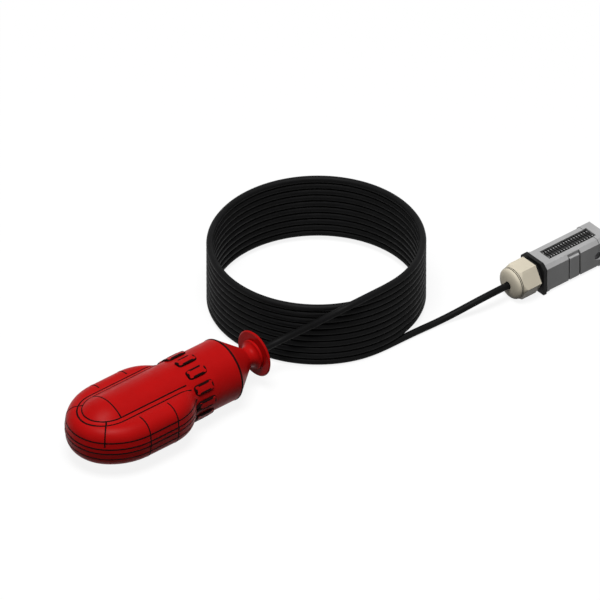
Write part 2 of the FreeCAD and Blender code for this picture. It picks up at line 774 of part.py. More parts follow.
shape_part(coil_shape(), "cable_coil", "coil")

# Plug: domed hex nut of the gland
NUT = "dome_nut_length + dome_nut_step"
NUT_END = NUT + " + nut_length"


def gland_nut():
    """A domed nose, a small step and a hexagon with turned corners, bored for the cable."""
    nose, step, flats = size("dome_nut_length"), size("dome_nut_step"), size("nut_flats")
    length, radius = size("nut_length"), size("dome_nut_radius")
    corner = flats / math.sqrt(3)
    start = nose + step
    hexagon = [Vector(start, corner * math.cos(math.radians(60 * i)), corner * math.sin(math.radians(60 * i)))
               for i in range(6)]
    prism = Part.Face(Part.makePolygon(hexagon + [hexagon[0]])).extrude(Vector(length, 0, 0))
    slope = (corner - radius) * 1.2
    turned_blank = Part.Face(Part.makePolygon([
        Vector(start, 0, 0), Vector(start, radius, 0), Vector(start + slope, corner + 0.1, 0),
        Vector(start + length, corner + 0.1, 0), Vector(start + length, 0, 0), Vector(start, 0, 0)
    ])).revolve(Vector(0, 0, 0), Vector(1, 0, 0), 360)
    prism = prism.common(turned_blank)
    neck = radius - 0.5
    arc = Part.Arc(Vector(0, 3.6, 0), Vector(0.36 * nose, 0.72 * radius, 0), Vector(nose, neck, 0))
    dome = Part.Face(Part.Wire([
        Part.LineSegment(Vector(0, 0, 0), Vector(0, 3.6, 0)).toShape(), arc.toShape(),
        Part.LineSegment(Vector(nose, neck, 0), Vector(start, neck, 0)).toShape(),
        Part.LineSegment(Vector(start, neck, 0), Vector(start, 0, 0)).toShape(),
        Part.LineSegment(Vector(start, 0, 0), Vector(0, 0, 0)).toShape()
    ])).revolve(Vector(0, 0, 0), Vector(1, 0, 0), 360)
    nut = dome.fuse(prism)
    bore = Part.makeCylinder(size("cable_radius") + size("cable_clearance"), nose + step + length + 2,
                             Vector(-1, 0, 0), Vector(1, 0, 0))
    room = Part.makeCylinder(size("spigot_radius"), length + 1, Vector(start, 0, 0), Vector(1, 0, 0))
    return nut.cut(bore).cut(room)


shape_part(gland_nut(), "gland_nut", "plug")

# Rubber seal inside the nut, squeezed round the cable
turned("gland_seal", [
    (NUT, "cable_radius"),
    (NUT, "spigot_radius - 1.5"),
    (NUT + " + seal_length * 0.3", "spigot_radius - 0.4"),
    (NUT + " + seal_length", "spigot_radius - 0.4"),
    (NUT + " + seal_length", "cable_radius"),
], "plug")

FLANGE = NUT_END + " + collar_length"
# Gland base: threaded spigot, round collar and the square flange in one moulding
turned("gland_base_turned", [
    (NUT + " + seal_length", "cable_radius + cable_clearance"),
    (NUT + " + seal_length", "spigot_radius"),
    (NUT_END, "spigot_radius"),
    (NUT_END, "collar_radius"),
    (FLANGE, "collar_radius"),
    (FLANGE, "cable_radius + cable_clearance"),
], "plug", export=False)


def chamfered_plate(name, side_y, side_z, corner, station, thick, bore):
    """A plate across X with cut corners and a round hole."""
    y, z = "(" + side_y + ") / 2", "(" + side_z + ") / 2"
    body = doc.addObject("PartDesign::Body", name + "_body")
    sketch = sketch_polygon(body, name + "_outline", "YZ_Plane", [
        (y, z + " - " + corner), (y + " - " + corner, z), ("-(" + y + ") + " + corner, z),
        ("-(" + y + ")", z + " - " + corner), ("-(" + y + ")", "-(" + z + ") + " + corner),
        ("-(" + y + ") + " + corner, "-(" + z + ")"), (y + " - " + corner, "-(" + z + ")"),
        (y, "-(" + z + ") + " + corner)], station)
    pad = body.newObject("PartDesign::Pad", name + "_pad")
    pad.Profile = sketch
    bind(pad, Length=thick)
    doc.recompute()
    hole = body.newObject("Sketcher::SketchObject", name + "_hole")
    hole.AttachmentSupport = [(plane_of(body, "YZ_Plane"), "")]
    hole.MapMode = "FlatFace"
    bind(hole, AttachmentOffset__Base__z=station)
    import Sketcher
    hole.addGeometry(Part.Circle(Vector(0, 0, 0), Vector(0, 0, 1), 4), False)
    hole.addConstraint(Sketcher.Constraint("Coincident", 0, 3, -1, 1))
    index = hole.addConstraint(Sketcher.Constraint("Radius", 0, 4))
    hole.setExpression("Constraints[%d]" % index, q(bore))
    pocket = body.newObject("PartDesign::Pocket", name + "_pocket")
    pocket.Profile = hole
    bind(pocket, Length=thick + " + 1")
    pocket.Reversed = True
    doc.recompute()
    return body


flange = chamfered_plate("flange", "flange_side", "flange_side", "flange_corner", FLANGE,
                         "flange_thick", "cable_radius + cable_clearance")
gland_base = joined("gland_base", [doc.getObject("gland_base_turned_body"), flange])
finish(gland_base, "gland_base", "plug")

gasket = chamfered_plate("gasket", "gasket_side", "gasket_side - 1", "flange_corner - 0.4",
                         FLANGE + " + flange_thick", "gasket_thick", "spigot_radius")
finish(gasket, "flange_gasket", "plug")

HOOD = FLANGE + " + flange_thick + gasket_thick"


# Hood of the plug: chamfered box section, ribbed grip recess above and below, side latches
def hood_shape():
    start = (size("dome_nut_length") + size("dome_nut_step") + size("nut_length")
             + size("collar_length") + size("flange_thick") + size("gasket_thick"))
    length, width, height = size("hood_length"), size("hood_width"), size("hood_height")
    chamfer, shell = size("hood_chamfer"), size("hood_wall")

    def section(x, grow, thick):
        y, z, c = width / 2 + grow, height / 2 + grow, chamfer
        ring = [Vector(x, y, z - c), Vector(x, y - c, z), Vector(x, c - y, z), Vector(x, -y, z - c),
                Vector(x, -y, c - z), Vector(x, c - y, -z), Vector(x, y - c, -z), Vector(x, y, c - z)]
        return Part.Face(Part.makePolygon(ring + [ring[0]])).extrude(Vector(thick, 0, 0))

    frame_length = size("end_frame_length")
    shape = section(start, 0, length - frame_length)
    shape = shape.fuse(section(start + length - frame_length, size("end_frame_rise") / 2, frame_length))
    room = Part.makeBox(length, width - 1.4 * shell, height - 2 * shell,
                        Vector(start + size("hood_back"), 0.7 * shell - width / 2, shell - height / 2))
    shape = shape.cut(room)
    back_hole = Part.makeCylinder(size("spigot_radius") - 1, size("hood_back") + 2,
                                  Vector(start - 1, 0, 0), Vector(1, 0, 0))
    shape = shape.cut(back_hole)
    slot_start = start + size("slot_station")
    slot_width, depth = size("slot_width"), size("slot_depth")
    slot = Part.makeBox(size("slot_length"), slot_width, depth + 1,
                        Vector(slot_start, -slot_width / 2, height / 2 - depth))
    count = int((size("slot_length") - size("grip_thick")) / size("grip_pitch"))
    half_rib = (slot_width - size("grip_split")) / 2
    margin = (size("slot_length") - (count - 1) * size("grip_pitch") - size("grip_thick")) / 2
    floor = height / 2 - depth
    ribs = []
    for i in range(count):
        for side in (-slot_width / 2, slot_width / 2 - half_rib):
            ribs.append(Part.makeBox(size("grip_thick"), half_rib, size("grip_height"),
                                     Vector(slot_start + margin + i * size("grip_pitch"), side, floor)))
    for flip in (0, 180):
        tools = [slot.copy()]
        for tool in tools:
            tool.rotate(Vector(0, 0, 0), Vector(1, 0, 0), flip)
        shape = shape.cut(tools[0])
        turned_ribs = []
        for rib in ribs:
            one = rib.copy()
            one.rotate(Vector(0, 0, 0), Vector(1, 0, 0), flip)
            turned_ribs.append(one)
        shape = shape.multiFuse(turned_ribs)
    gap = size("latch_gap")
    for sign in (-1, 1):
        recess = Part.makeBox(size("latch_length") + 2 * gap, 2, height - 2 * chamfer,
                              Vector(start + size("latch_station") - gap,
                                     sign * (width / 2 - 0.6) - (2 if sign < 0 else 0),
                                     chamfer - height / 2))
        shape = shape.cut(recess)
        screw_hole = Part.makeCylinder(size("side_screw_radius"), 4,
                                       Vector(start + size("side_screw_station"),
                                              sign * (width / 2 - 1.5), -size("side_screw_drop")),
                                       Vector(0, sign, 0))
        shape = shape.cut(screw_hole)
    return shape, start


hood, hood_start = hood_shape()
shape_part(hood, "plug_hood", "plug")


def latch_pair():
    """A spring latch panel on each side of the hood."""
    width, height = size("hood_width"), size("hood_height")
    tall = height - 2 * size("hood_chamfer")
    panels = []
    for sign in (-1, 1):
        inner = sign * (width / 2 - 0.6)
        outer = sign * (width / 2 + size("latch_rise"))
        panel = Part.makeBox(size("latch_length"), abs(outer - inner), tall,
                             Vector(hood_start + size("latch_station"), min(inner, outer), -tall / 2))
        edges = [e for e in panel.Edges if abs(e.BoundBox.YMin - outer) < 1e-6 and e.BoundBox.YLength < 1e-6]
        panels.append(panel.makeChamfer(0.5, edges))
    return Part.makeCompound(panels)


shape_part(latch_pair(), "side_latches", "plug")


def side_screw_pair():
    """Two slotted screws sunk in the sides that hold the contact insert."""
    width = size("hood_width")
    station = hood_start + size("side_screw_station")
    drop = -size("side_screw_drop")
    screws = []
    for sign in (-1, 1):
        head_face = sign * (width / 2 - 0.5)
        head = Part.makeCylinder(size("side_screw_radius"), 1.0, Vector(station, head_face, drop),
                                 Vector(0, -sign, 0))
        slit = Part.makeBox(0.8, 1.0, 6.0, Vector(station - 0.4, head_face - 0.5, drop - 3.0))
        screws.append(head.cut(slit))
    return Part.makeCompound(screws)


shape_part(side_screw_pair(), "side_screws", "plug")

# Contact insert with its pins, set back from the mating face
INSERT_END = HOOD + " + hood_length - insert_setback"
insert_block = bar("insert_block", INSERT_END + " - insert_length", "0.7 * hood_wall - hood_width / 2",
                   "hood_wall - hood_height / 2", "insert_length", "hood_width - 1.4 * hood_wall",
                   "hood_height - 2 * hood_wall")
PIN_SPOTS = (("line", "-pin_pitch / 2", "pin_pitch / 2"), ("neutral", "pin_pitch / 2", "pin_pitch / 2"),
             ("signal", "-pin_pitch / 2", "-pin_pitch / 2"), ("earth", "pin_pitch / 2", "-pin_pitch / 2"))
pin_bores = [rod("bore_" + name, "pin_radius", "insert_length + 2", INSERT_END + " - insert_length - 1", y, z)
             for name, y, z in PIN_SPOTS]
insert = cut("insert", insert_block, group_of("insert_bores", pin_bores))
finish(insert, "contact_insert", "plug")
pins = group_of("pin_set", [
    rod("pin_" + name, "pin_radius", "insert_length + pin_reach", INSERT_END + " - insert_length", y, z)
    for name, y, z in PIN_SPOTS])
finish(pins, "contact_pins", "plug")

# Cable sheath inside the plug and its cores up to the insert
sheath_plug = rod("sheath_in_plug", "cable_radius", HOOD + " + hood_back + 3")
finish(sheath_plug, "sheath_end_plug", "plug")
core_start = hood_start + size("hood_back") + 3
insert_start = hood_start + size("hood_length") - size("insert_setback") - size("insert_length")
half_pitch = size("pin_pitch") / 2
spots = [Vector(insert_start, half_pitch, half_pitch), Vector(insert_start, -half_pitch, half_pitch),
         Vector(insert_start, -half_pitch, -half_pitch)]
shape_part(core_bundle(sheath_cores(core_start, math.radians(30)), spots), "plug_cores", "plug")

doc.recompute()
bad = [o.Name for o in doc.Objects if "Invalid" in o.State or "Error" in o.State]
if bad:
    raise RuntimeError("objects with errors: " + ", ".join(bad))
for part in sub_parts:
    shape = part.Shape
    if shape.isNull() or not shape.isValid() or not shape.Solids:
        raise RuntimeError("bad shape: " + part.Label)
for part in sub_parts:
    part.Shape.exportStep("parts/" + part.Label + ".step")
print("wrote", len(sub_parts), "sub-parts")
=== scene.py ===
# %% [markdown]
# # A cable float switch
# A red float with a flat buoyancy ring hangs on a black cable in a sump or a tank. When the water
# lifts it, a steel ball inside rolls and presses a microswitch. Five metres of cable lie in a round
# coil here, and a grey plug housing sits on the far end.
# The solids come from the CAD model and are loaded as they are. This lesson gives them finishes,
# winds the cable, and sets up the floor, the light and the camera. Loading comes first, because
# everything else is placed by the solids.

# %% Load the solids
import bpy
import json
import math
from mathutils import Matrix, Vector


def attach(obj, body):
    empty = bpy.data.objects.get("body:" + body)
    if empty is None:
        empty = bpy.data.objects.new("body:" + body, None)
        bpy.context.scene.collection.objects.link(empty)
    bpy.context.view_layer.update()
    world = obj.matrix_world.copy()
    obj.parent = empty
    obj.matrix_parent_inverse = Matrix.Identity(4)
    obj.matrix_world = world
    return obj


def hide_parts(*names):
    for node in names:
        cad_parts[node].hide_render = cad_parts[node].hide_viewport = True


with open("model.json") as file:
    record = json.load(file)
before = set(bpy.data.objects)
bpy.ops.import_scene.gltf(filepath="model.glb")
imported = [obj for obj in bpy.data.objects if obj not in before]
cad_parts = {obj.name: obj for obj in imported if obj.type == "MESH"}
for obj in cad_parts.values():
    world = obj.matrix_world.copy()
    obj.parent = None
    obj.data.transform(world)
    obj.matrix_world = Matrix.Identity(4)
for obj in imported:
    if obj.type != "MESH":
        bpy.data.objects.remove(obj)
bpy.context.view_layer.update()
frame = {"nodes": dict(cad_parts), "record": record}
solids = frame["nodes"]
print("solids loaded:", len(solids))

# %% [markdown]
# ## The camera
# The picture is a parallel view, down at the float from its nose end. A very long lens from far away
# gives nearly the same, and still lets the camera be swung round for other views. A real
# orthographic camera would draw the same picture but would not refit itself to those views.

# %% Camera
LOOK_AT = Vector((0.1703, 0.0540, 0.0))
TOWARD_CAMERA = Vector((-0.518, -0.616, 0.593))
LENS_MM = 1600
PICTURE_WIDTH = 0.429
camera_distance = PICTURE_WIDTH * LENS_MM / 36

camera_data = bpy.data.cameras.new("camera")
camera_data.lens = LENS_MM
camera = bpy.data.objects.new("camera", camera_data)
camera.location = LOOK_AT + TOWARD_CAMERA * camera_distance
camera.rotation_euler = (-TOWARD_CAMERA).to_track_quat("-Z", "Y").to_euler()
bpy.context.scene.collection.objects.link(camera)
bpy.context.scene.camera = camera
bpy.context.scene.view_settings.view_transform = "Standard"
print("camera distance:", round(camera_distance, 3), "m")

# %% [markdown]
# ## The cable
# A float switch has a soft rubber cable of three cores. It leaves the bell of the float, rises to
# the top of the coil, winds down in ten neat turns and runs out along the floor to the plug.
# It could be a swept mesh, but one NURBS curve with a round bevel is closer to the real thing: one
# smooth line of one thickness. The leads are the same points as in the CAD route. The coil's points
# lie a little outside the turns, because such a curve runs inside its points.
# The thickness sits in the points' radius, and the bevel is 1. The other way round, Blender would
# widen the curve's box by the default radius, which is a whole metre.

# %% Wind the cable
CABLE_RADIUS = 0.0026
COIL_CENTRE = Vector((0.1781, 0.0452, 0.0))
COIL_RADIUS = 0.076
TURNS = 10
POINTS_PER_TURN = 24
COIL_TOP, COIL_BOTTOM = 0.0548, 0.0026

FLOAT_LEAD = [(0.0834, 0.0, 0.025), (0.0966, 0.0, 0.025), (0.1092, -0.0044, 0.0292),
              (0.1234, -0.0176, 0.0413), (0.1384, -0.0290, 0.0529), (0.1605, -0.0310, 0.0549)]
PLUG_LEAD = [(0.2030, -0.0308, 0.0026), (0.2320, -0.0325, 0.0026), (0.2620, -0.0415, 0.0129),
             (0.2819, -0.0415, 0.0129)]


def coil_points():
    """Points of ten turns, from the top down, anticlockwise from above."""
    count = TURNS * POINTS_PER_TURN
    step = math.tau / POINTS_PER_TURN
    reach = COIL_RADIUS / math.cos(step / 2)
    for i in range(count):
        angle = -math.pi / 2 + (i + 0.5) * step
        level = COIL_TOP + (COIL_BOTTOM - COIL_TOP) * (i + 0.5) / count
        yield COIL_CENTRE + Vector((reach * math.cos(angle), reach * math.sin(angle), level))


route = [Vector(p) for p in FLOAT_LEAD] + list(coil_points()) + [Vector(p) for p in PLUG_LEAD]
cable_curve = bpy.data.curves.new("cable", "CURVE")
cable_curve.dimensions = "3D"
spline = cable_curve.splines.new("NURBS")
spline.points.add(len(route) - 1)
for point, place in zip(spline.points, route):
    point.co = (*place, 1.0)
    point.radius = CABLE_RADIUS
spline.order_u = 3
spline.use_endpoint_u = True
spline.resolution_u = 6
cable_curve.bevel_depth = 1.0
cable_curve.bevel_resolution = 6
cable_curve.use_fill_caps = True
cable = bpy.data.objects.new("cable", cable_curve)
bpy.context.scene.collection.objects.link(cable)
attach(cable, "switch_assembly")
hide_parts("cable_float_lead", "cable_coil", "cable_plug_lead")
print("cable points:", len(route))

# %% [markdown]
# ## Lofted pieces
# The plug is made of moulded pieces whose cross-section changes along the plug's axis: a hexagon
# that grows out of a round neck, or a box with a recess that starts and stops. Stacked cubes would
# leave walls inside. One closed skin over a row of cross-sections doesn't, so this helper takes
# rings of points, joins each ring to the next and closes both ends.

# %% Loft helper
import bmesh

PLUG = Vector((0.2819, -0.0415, 0.0129))
MM = 0.001
SHARP_DEGREES = 25


def lofted(name, rows):
    """Closed skins over rows of rings, whose points are (x, y, z) in millimetres from the plug's tip."""
    form = bmesh.new()
    for rings in rows:
        loops = [[form.verts.new(PLUG + MM * Vector(p)) for p in ring] for ring in rings]
        count = len(loops[0])
        for near, far in zip(loops, loops[1:]):
            for i in range(count):
                j = (i + 1) % count
                form.faces.new((near[i], near[j], far[j], far[i]))
        form.faces.new(loops[0][::-1])
        form.faces.new(loops[-1])
    bmesh.ops.remove_doubles(form, verts=form.verts, dist=1e-6)
    bmesh.ops.dissolve_degenerate(form, dist=1e-6, edges=form.edges)
    bmesh.ops.recalc_face_normals(form, faces=form.faces)
    mesh = bpy.data.meshes.new(name)
    form.to_mesh(mesh)
    form.free()
    mesh.polygons.foreach_set("use_smooth", [True] * len(mesh.polygons))
    mesh.set_sharp_from_angle(angle=math.radians(SHARP_DEGREES))
    piece = bpy.data.objects.new(name, mesh)
    bpy.context.scene.collection.objects.link(piece)
    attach(piece, "switch_assembly")
    return piece


def plug_stations(*pairs):
    """Rings of one outline at each station: pairs of a distance along the axis and (y, z) points."""
    return [[(x, y, z) for y, z in outline] for x, outline in pairs]


# %% [markdown]
# ## The gland nut
# The nut is a hexagon, 24.2 mm across its flats, with a shallow domed nose and a thin ring between
# the two. A cone cuts the hexagon's corners where it meets the ring, as a lathe does. So each ring
# of points takes the smaller of two radii: the hexagon's at that angle and the cone's at that place.
# Stations and radii are in millimetres from here to the end of the plug.

# %% Gland nut
NUT_FLATS = 24.2
NUT_END = 22.2
BORE, NECK, NUT_CORNER = 2.9, 10.3, 14.2
ROUND_SIDES = 96
AROUND = [math.tau * i / ROUND_SIDES for i in range(ROUND_SIDES)]
HALF_FLAT = math.tau / 12


def hexagon_radius(angle):
    """Distance from the axis to the side of a hexagon with a flat that faces along angle 0."""
    return NUT_FLATS / 2 / math.cos((angle + HALF_FLAT) % (2 * HALF_FLAT) - HALF_FLAT)


def nut_ring(x, limit):
    """A ring of points at x: the hexagon with flats above and below, cut to the limit."""
    radii = [min(limit, hexagon_radius(a + HALF_FLAT)) for a in AROUND]
    return x, [(r * math.cos(a), r * math.sin(a)) for r, a in zip(radii, AROUND)]


nose = [(5.4, BORE), (2.3, BORE), (2.36, 4.5), (2.62, 7.0), (3.15, 9.4), (3.8, 10.9), (4.4, 11.5),
        (5.0, 11.8), (5.6, 11.8), (5.6, NECK), (6.05, NECK), (6.05, 12.05), (6.6, 12.05),
        (6.6, NECK), (7.2, NECK)]
hexagon = [(7.2, 12.0), (7.7, 12.45), (8.2, 12.9), (8.8, 13.4), (9.5, NUT_CORNER), (NUT_END, NUT_CORNER)]
gland_nut = lofted("gland_nut_shell", [plug_stations(*[nut_ring(x, r) for x, r in nose + hexagon])])
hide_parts("gland_nut")
print("nut faces:", len(gland_nut.data.polygons))

# %% [markdown]
# ## Flange and gasket
# Behind the nut a round collar carries a square flange, which is screwed against the hood with a thin
# gasket between. Both have cut upper corners and nearly square lower ones, as the hood has, so one
# outline function serves the two of them.

# %% Flange and gasket
COLLAR_RADIUS = 11.0
FLANGE, FLANGE_EDGE, GASKET, GASKET_THICK = 25.0, 0.3, 27.9, 0.6
LOW_CUT = 0.5


def plate_outline(half_y, half_z, cut):
    """A box section with cut upper corners."""
    right = [(half_y - LOW_CUT, -half_z), (half_y, LOW_CUT - half_z),
             (half_y, half_z - cut), (half_y - cut, half_z)]
    left = [(-y, z) for y, z in reversed(right)]
    return right[2:] + left + right[:2]


collar = [[(x, COLLAR_RADIUS * math.cos(a), COLLAR_RADIUS * math.sin(a)) for a in AROUND]
          for x in (NUT_END, FLANGE + 0.2)]
rim, face = plate_outline(12.7, 12.7, 3.9), plate_outline(12.9, 12.9, 4.0)
flange_plate = plug_stations((FLANGE, rim), (FLANGE + FLANGE_EDGE, face), (GASKET - FLANGE_EDGE, face),
                             (GASKET, rim))
flange = lofted("flange_shell", [collar, flange_plate])
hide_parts("gland_base")
gasket_edge = plate_outline(12.2, 11.7, 3.4)
gasket = lofted("gasket_sheet", [plug_stations((GASKET, gasket_edge),
                                               (GASKET + GASKET_THICK, gasket_edge))])
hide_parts("flange_gasket")
print("flange and gasket faces:", len(flange.data.polygons), len(gasket.data.polygons))

# %% [markdown]
# ## The plug's hood
# The hood is one grey moulding: a collar against the gasket, a long box with cut upper corners, a
# deep grip slot on top, a recess for the spring latch on each side, and a thicker frame at the open
# end. All that changes along the axis is how deep the slot and the recesses are, so every section
# has the same points in the same order and the loft can step from one to the next.

# %% Hood section
HOOD = 30.8
HOOD_LENGTH = 56.4
HALF_WIDTH, TOP, BOTTOM = 12.15, 10.5, 11.45
HOLLOW_HALF, HOLLOW_TOP = 9.77, 8.05
SLOT_HALF, SLOT_FLOOR = 5.6, 8.25
SLOT_START, SLOT_END = 5.7, 49.4
LATCH_START, LATCH_END = 18.3, 29.6
COLLAR_START, COLLAR_GROW = -2.3, 0.3
FRAME_START, FRAME_GROW = HOOD_LENGTH - 9.7, 0.4
BACK_WALL = 3.2


def hood_section(grow=0.0, slotted=False, latched=False):
    """Points of the hood's outline; the side points step inwards where a latch sits."""
    y, z, foot = HALF_WIDTH + grow, TOP + grow, -BOTTOM - grow
    floor = SLOT_FLOOR if slotted else z
    if latched:
        side = [(y - 2.6, z), (y - 2.2, z - 0.4), (y - 2.2, z - 2.6), (y - 1.6, z - 2.6),
                (y - 1.6, foot + 0.3), (y - 1.9, foot)]
    else:
        side = [(y - 2.6, z), (y - 2.2, z - 0.4), (y - 1.2, z - 1.4), (y, z - 2.6),
                (y, foot + 0.5), (y - 0.5, foot)]
    slot = [(-SLOT_HALF, z), (-SLOT_HALF, floor), (SLOT_HALF, floor), (SLOT_HALF, z)]
    return slot + side + [(-a, b) for a, b in reversed(side)]


def inner_section():
    """The same number of points, pressed on to the walls of the hollow inside."""
    return [(max(-HOLLOW_HALF, min(HOLLOW_HALF, a)), max(-HOLLOW_TOP, min(HOLLOW_TOP, b)))
            for a, b in hood_section()]


# %% Hood
plain, slotted, hollow = hood_section(), hood_section(slotted=True), inner_section()
latched = hood_section(slotted=True, latched=True)
hood_collar, end_frame = hood_section(COLLAR_GROW), hood_section(FRAME_GROW)
slotted_frame = hood_section(FRAME_GROW, slotted=True)
steps = [(COLLAR_START, hood_collar), (0.0, hood_collar), (0.0, plain), (SLOT_START, plain),
         (SLOT_START, slotted), (LATCH_START, slotted), (LATCH_START, latched),
         (LATCH_END, latched), (LATCH_END, slotted), (FRAME_START, slotted),
         (FRAME_START, slotted_frame), (SLOT_END, slotted_frame), (SLOT_END, end_frame),
         (HOOD_LENGTH, end_frame), (HOOD_LENGTH, hollow), (BACK_WALL, hollow)]
hood = lofted("hood_shell", [plug_stations(*[(HOOD + x, ring) for x, ring in steps])])
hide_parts("plug_hood")
print("hood faces:", len(hood.data.polygons))

# %% [markdown]
# ## Screw seats
# A screw sits deep in each side near the open end. A loft can't make a round hole in its side, so the
# two seats are cut with a Boolean modifier, whose result is kept as the mesh. The cutter goes again.

# %% Cut the screw seats
SCREW_AT, SCREW_LEVEL = HOOD + 45.9, -2.3
SEAT_RADIUS, SEAT_FLOOR, PAST_SIDE = 3.2, 10.2, 14.0
BAR_SIDES = 48


def round_bar(radius, start, end):
    """Rings of a short bar across the plug at the screw's place."""
    turns = [math.tau * i / BAR_SIDES for i in range(BAR_SIDES)]
    return [[(SCREW_AT + radius * math.cos(a), y, SCREW_LEVEL + radius * math.sin(a)) for a in turns]
            for y in (start, end)]


cutter = lofted("seat_cutter", [round_bar(SEAT_RADIUS, side * SEAT_FLOOR, side * PAST_SIDE)
                                for side in (-1, 1)])
cut = hood.modifiers.new("screw seats", "BOOLEAN")
cut.operation = "DIFFERENCE"
cut.solver = "EXACT"
cut.object = cutter
bpy.context.view_layer.update()
cut_mesh = bpy.data.meshes.new_from_object(hood.evaluated_get(bpy.context.evaluated_depsgraph_get()))
hood.modifiers.clear()
hood.data = cut_mesh
cut_mesh.set_sharp_from_angle(angle=math.radians(SHARP_DEGREES))
bpy.data.objects.remove(cutter)
print("hood faces with seats:", len(hood.data.polygons))

# %% [markdown]
# ## Grip, latches and screws
# The grip slot holds a dark rubber strip with cross ribs, moulded in, and two rows of small grey
# nubs show through it. The latches are flat panels that stand in the side recesses with a dark gap
# round them. Each screw is a dark disc, well below the surface, with a thin near-black cross laid on it:
# painted shade of its cross slot.

# %% Grip strip
TOP_EDGE = 0.12
STRIP_START, STRIP_LENGTH, STRIP_HALF = HOOD + 5.75, 43.5, 5.55
FIRST_RIB, RIB_PITCH, RIB_COUNT = HOOD + 6.6, 2.4, 18
RIB_LENGTH, RIB_WIDTH, RIB_TOP = 1.1, 4.8, 9.7
NUB_LENGTH, NUB_WIDTH, NUB_TOP = 0.8, 0.9, 9.95


def bar_rings(x, length, y, width, low, high):
    """Rings of a small bar along X with a softened top."""
    outline = [(y, low), (y + width, low), (y + width, high - TOP_EDGE), (y + width - TOP_EDGE, high),
               (y + TOP_EDGE, high), (y, high - TOP_EDGE)]
    return plug_stations((x, outline), (x + length, outline))


rib_places = [FIRST_RIB + RIB_PITCH * i for i in range(RIB_COUNT)]
ribs = [bar_rings(STRIP_START, STRIP_LENGTH, -STRIP_HALF, 2 * STRIP_HALF,
                  SLOT_FLOOR - 0.05, SLOT_FLOOR + 0.3)]
ribs += [bar_rings(x, RIB_LENGTH, y, RIB_WIDTH, SLOT_FLOOR + 0.2, RIB_TOP)
         for x in rib_places for y in (-5.5, 0.7)]
grip = lofted("grip_strip", ribs)
nubs = lofted("grip_nubs", [bar_rings(x + 0.15, NUB_LENGTH, y, NUB_WIDTH, RIB_TOP - 0.1, NUB_TOP)
                            for x in rib_places for y in (-3.6, 2.7)])
print("ribs:", 2 * len(rib_places))

# %% Latches and side screws
PANEL_BACK, PANEL_FACE, PANEL_EDGE = 10.57, 12.3, 0.3
PANEL_TOP, PANEL_FOOT, PANEL_FOOT_EDGE = 7.8, -10.95, 0.35
HEAD_RADIUS, HEAD_BACK, HEAD_FACE = 3.0, 10.25, 11.0
CROSS_LONG, CROSS_WIDE, CROSS_BACK, CROSS_FACE = 4.4, 0.8, 10.9, 11.03


def latch_rings(side):
    """A panel whose outer edges are turned in."""
    rings = []
    for x, inset in ((19.4, PANEL_EDGE), (19.7, 0.0), (28.0, 0.0), (28.3, PANEL_EDGE)):
        face = PANEL_FACE - inset
        outline = [(PANEL_BACK, PANEL_TOP), (face - PANEL_EDGE, PANEL_TOP), (face, PANEL_TOP - PANEL_EDGE),
                   (face, PANEL_FOOT + PANEL_FOOT_EDGE), (face - PANEL_EDGE, PANEL_FOOT),
                   (PANEL_BACK, PANEL_FOOT)]
        rings.append([(HOOD + x, side * y, z) for y, z in outline])
    return rings


latch_rows = [latch_rings(side) for side in (-1, 1)]
latches = lofted("latch_panels", latch_rows)
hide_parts("side_latches")

screw_rows, cross_rows = [], []
for side in (-1, 1):
    screw_rows.append(round_bar(HEAD_RADIUS, side * HEAD_BACK, side * HEAD_FACE))
    for long, tall in ((CROSS_LONG, CROSS_WIDE), (CROSS_WIDE, CROSS_LONG)):
        cross_rows.append([[(SCREW_AT + a * long / 2, y, SCREW_LEVEL + b * tall / 2)
                            for a, b in ((-1, -1), (1, -1), (1, 1), (-1, 1))]
                           for y in (side * CROSS_BACK, side * CROSS_FACE)])
screws = lofted("side_screw_heads", screw_rows)
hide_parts("side_screws")
# Painted shade: a thin near-black cross on each head stands in for the shade of the recessed cross slot.
screw_slot_shades = lofted("side_screw_slot_shades", cross_rows)
print("latches and screw heads:", len(latch_rows), len(screw_rows))

# %% [markdown]
# ## Parting lines of the float
# The ring has an upper and a lower half, with a band at the joint that belongs to the lower one, and
# moulds leave lines where their slides meet. Up close these are shallow grooves in shade. Here each
# is a thin near-black bead, mostly sunk into the wall so it follows the real surface; the line is real,
# its darkness is painted shade of the groove. Rays are cast at the solids, and the bead runs through the
# points that they hit.

# %% Cast a bead on to the float
from mathutils.bvhtree import BVHTree

BEAD_RADIUS, BEAD_SUNK = 1.15 * MM, 0.94 * MM
FLOAT_AXIS = Vector((0.0, 0.0, 0.025))
OUTSIDE = 60
hull_points, hull_faces = [], []
for name in ("float_tube", "ring_upper", "ring_lower", "rear_cap"):
    mesh = solids[name].data
    first = len(hull_points)
    hull_points += [v.co.copy() for v in mesh.vertices]
    hull_faces += [tuple(first + i for i in face.vertices) for face in mesh.polygons]
float_hull = BVHTree.FromPolygons(hull_points, hull_faces)

bead_curve = bpy.data.curves.new("float_parting_line_shades", "CURVE")
bead_curve.dimensions = "3D"
bead_curve.bevel_depth = 1.0
bead_curve.bevel_resolution = 3
bead_curve.resolution_u = 3


def add_bead(rays, closed=False):
    """One bead through the points where rays first hit the float: (start, aim) in mm from its axis."""
    places = []
    for start, aim in rays:
        start, aim = FLOAT_AXIS + MM * Vector(start), FLOAT_AXIS + MM * Vector(aim)
        hit, normal = float_hull.ray_cast(start, (aim - start).normalized())[:2]
        if hit is not None:
            places.append(hit - normal * BEAD_SUNK)
    line = bead_curve.splines.new("NURBS")
    line.points.add(len(places) - 1)
    for point, place in zip(line.points, places):
        point.co = (*place, 1.0)
        point.radius = BEAD_RADIUS
    line.order_u = 3
    line.use_cyclic_u = closed
    line.use_endpoint_u = not closed


# %% [markdown]
# Level lines run round the ring above and below the band. Upright lines cross it where the side
# arcs begin and end, and one more on each side near the nose.

